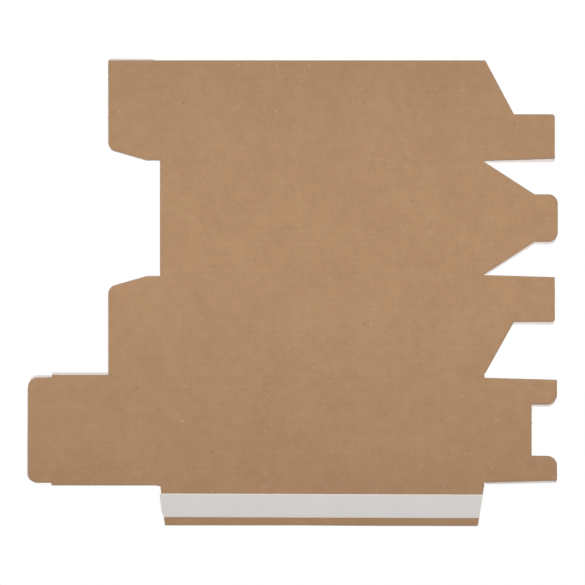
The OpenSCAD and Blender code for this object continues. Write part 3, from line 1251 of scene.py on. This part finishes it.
    def build(
        self, outer: bpy.types.Material, white: bpy.types.Material, fluting: bpy.types.Material
    ) -> None:
        """Builds every piece of board, and ties the walls' piece to its body.

        Args:
            outer: the brown paper's material.
            white: the inner paper's material.
            fluting: the fluted paper's material.
        """
        tree = flute_tree(fluting)
        section = self.section
        sizes = {"Flute pitch": FLUTE_PITCH, "Paper thickness": section.fluted_paper}
        for node, piece in self.pieces().items():
            inset = section.inner_inset * (1 - piece.pinch)
            brown_edge = piece.core + piece.way * piece.whiskers()[:, None]
            white_edge = piece.edge + piece.rim - piece.way * inset[:, None]
            mesh = bmesh.new()
            piece.paper(mesh, brown_edge, piece.outer_under, section.outer_paper, Paper.OUTER)
            piece.paper(mesh, white_edge, piece.inner_face, section.inner_paper, Paper.INNER)
            flat = len(mesh.faces)
            waved = modelled(piece.flute_bed(), tree, sizes)
            mesh.from_mesh(waved)
            bpy.data.meshes.remove(waved)
            mesh.faces.ensure_lookup_table()
            for face in mesh.faces[flat:]:
                face.material_index = Paper.FLUTED
                face.smooth = True
            board = piece.finished(mesh, node + "_board", outer, white, fluting)
            self.tie(board, node)

    def tie(self, board: bpy.types.Object, node: str) -> None:
        """Makes a wall piece ride on its body; a flap's piece stays where it is built, with its transform
        baked.
        """
        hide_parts(node)
        flap = self.flap_of(node)
        if flap is None:
            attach(board, next(body for body, nodes in self.bodies.items() if node in nodes))
            return
        joint, crease = self.joints[flap.joint], self.creases[node]
        reach = self.section.crease_reach
        start, end = (Vector((*crease.plan(side * reach, 0), joint["pos_m"][2])) for side in (-1, 1))
        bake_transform(board)


@dataclass(frozen=True)
class AdhesiveStrip:
    """The strip of adhesive on the seam flap and the release paper that covers it."""

    film: str = "adhesive_tape"
    cover: str = "release_liner"
    roll: float = 0.08 * MM
    roll_reach: float = 0.5 * MM
    # The release paper's creamy edge, partly a painted highlight, reaches this far.
    edge_tone_reach: float = 0.4 * MM
    wave: float = 0.02 * MM
    wave_length: float = 23 * MM
    curl: float = 0.3 * MM
    curl_reach: float = 4 * MM

    def build(self, release: bpy.types.Material, adhesive: bpy.types.Material) -> None:
        """Dresses the adhesive and builds the release paper over it.

        Args:
            release: the release paper's material.
            adhesive: the adhesive's material.
        """
        film = frame["nodes"][self.film]
        film.data.materials.clear()
        film.data.materials.append(adhesive)
        log.info("%s: dressed", self.film)
        low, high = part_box(self.cover)
        paper = high.z - low.z
        section = BoardSection(
            thickness=high.z,
            outer_paper=paper,
            crush_along=self.roll,
            crush_along_reach=self.roll_reach,
            crush_across=0.0,
            edge_tone_reach=self.edge_tone_reach,
        )
        piece = BoardPiece(self.cover, node_ring(self.cover), [], (), section, SEED)
        piece.settle_edges([])

        def lower(points: np.ndarray) -> np.ndarray:
            """Gives the height of the release paper's lower face."""
            lift = self.curl * smooth((low.x + self.curl_reach - points[:, 0]) / self.curl_reach)
            ripple = self.wave * (1 + np.sin(2 * math.pi * points[:, 0] / self.wave_length)) / 2
            return piece.outer_under(points) + ripple + lift

        mesh = bmesh.new()
        piece.paper(mesh, piece.edge, lower, paper, Paper.OUTER)
        strip = piece.finished(mesh, "release_paper_strip", release)
        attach(strip, "seam")
        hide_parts(self.cover)


@dataclass(frozen=True)
class Studio:
    """White floor, soft light from above and a camera straight over the blank."""

    frame_width: float = 297.4 * MM
    aim: tuple[float, float] = (-0.2 * MM, 0.2 * MM)
    lens: float = 100.0
    sensor: float = 36.0
    floor_size: float = 6.0
    floor_gap: float = 0.05 * MM
    floor_colour: str = "#F4F4F4"
    floor_roughness: float = 0.9
    # The share of the floor that the camera sees, and how much that share glows.
    floor_veil: float = 0.05
    floor_glow: float = 0.3
    world_light: float = 0.38
    softbox_place: tuple[float, float, float] = (0.0, 0.363, 0.633)
    softbox_aim: tuple[float, float, float] = (0.0, 0.008, 0.0)
    softbox_size: tuple[float, float] = (0.77, 0.3)
    softbox_spread: float = math.radians(42.5)
    softbox_power: float = 0.68

    def build(self) -> None:
        """Sets up the camera, the world, the floor and the lamp."""
        scene = bpy.context.scene
        scene.view_settings.view_transform = "Standard"
        camera = bpy.data.objects.new("camera", bpy.data.cameras.new("camera"))
        camera.data.lens = self.lens
        camera.data.sensor_width = self.sensor
        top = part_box("wall_panels")[1].z
        camera.location = (*self.aim, top + self.frame_width * self.lens / self.sensor)
        scene.collection.objects.link(camera)
        scene.camera = camera
        softbox = bpy.data.objects.new("softbox", bpy.data.lights.new("softbox", "AREA"))
        softbox.data.shape = "RECTANGLE"
        softbox.data.size, softbox.data.size_y = self.softbox_size
        softbox.data.spread = self.softbox_spread
        softbox.data.energy = self.softbox_power
        softbox.location = self.softbox_place
        beam = Vector(self.softbox_aim) - Vector(self.softbox_place)
        softbox.rotation_euler = beam.to_track_quat("-Z", "Y").to_euler()
        softbox.visible_camera = False
        scene.collection.objects.link(softbox)
        self.light_world(scene)
        self.lay_floor(scene)

    def light_world(self, scene: bpy.types.Scene) -> None:
        """Makes the world white to the eye and a plain soft light to the object."""
        scene.world = bpy.data.worlds.new("studio")
        scene.world.use_nodes = True
        tree = scene.world.node_tree
        tree.nodes.clear()
        soft = add_node(tree, "ShaderNodeBackground", {"Strength": self.world_light})
        white = add_node(tree, "ShaderNodeBackground", {"Strength": 1.0})
        for light in (soft, white):
            light.inputs["Color"].default_value = linear(PURE_WHITE)
        ends = {0: self.seen(tree), 1: soft.outputs[0], 2: white.outputs[0]}
        mixed = add_node(tree, "ShaderNodeMixShader", ends)
        add_node(tree, "ShaderNodeOutputWorld", {0: mixed.outputs[0]})

    def seen(self, tree: bpy.types.NodeTree) -> bpy.types.NodeSocket:
        """Gives 1 where the eye looks, straight, in a gloss or through something clear, and else 0."""
        path = add_node(tree, "ShaderNodeLightPath").outputs
        found = path["Is Camera Ray"]
        for ray in ("Is Glossy Ray", "Is Transmission Ray"):
            terms = {0: found, 1: path[ray]}
            found = add_node(tree, "ShaderNodeMath", terms, operation="MAXIMUM").outputs[0]
        return found

    def lay_floor(self, scene: bpy.types.Scene) -> None:
        """Lays a white floor, thin to the eye, that keeps a faint shadow and hides no folded flap."""
        mesh = bmesh.new()
        bmesh.ops.create_grid(mesh, x_segments=1, y_segments=1, size=self.floor_size / 2)
        bmesh.ops.translate(mesh, verts=mesh.verts, vec=(0, 0, -self.floor_gap))
        data = bpy.data.meshes.new("floor")
        mesh.to_mesh(data)
        mesh.free()
        material, tree, shader = new_finish("white_floor")
        shader.inputs["Base Color"].default_value = linear(self.floor_colour)
        shader.inputs["Roughness"].default_value = self.floor_roughness
        shader.inputs["Emission Color"].default_value = linear(PURE_WHITE)
        seen = self.seen(tree)
        glow = add_node(tree, "ShaderNodeMath", {0: seen, 1: self.floor_glow}, operation="MULTIPLY")
        tree.links.new(glow.outputs[0], shader.inputs["Emission Strength"])
        clear = add_node(tree, "ShaderNodeBsdfTransparent")
        terms = {0: seen, 1: 1 - self.floor_veil}
        share = add_node(tree, "ShaderNodeMath", terms, operation="MULTIPLY")
        ends = {0: share.outputs[0], 1: shader.outputs[0], 2: clear.outputs[0]}
        mixed = add_node(tree, "ShaderNodeMixShader", ends)
        tree.links.new(mixed.outputs[0], tree.nodes["Material Output"].inputs["Surface"])
        data.materials.append(material)
        floor = bpy.data.objects.new("floor", data)
        floor.visible_shadow = False
        scene.collection.objects.link(floor)


def main() -> None:
    """Builds the studio, the blank and its adhesive strip."""
    logging.basicConfig(level=logging.INFO, format="%(name)s: %(message)s")
    Studio().build()
    Blank().build(KRAFT.material(), WHITE.material(), FLUTING.material())
    AdhesiveStrip().build(RELEASE.material(), ADHESIVE.material())


if __name__ == "__main__":
    main()
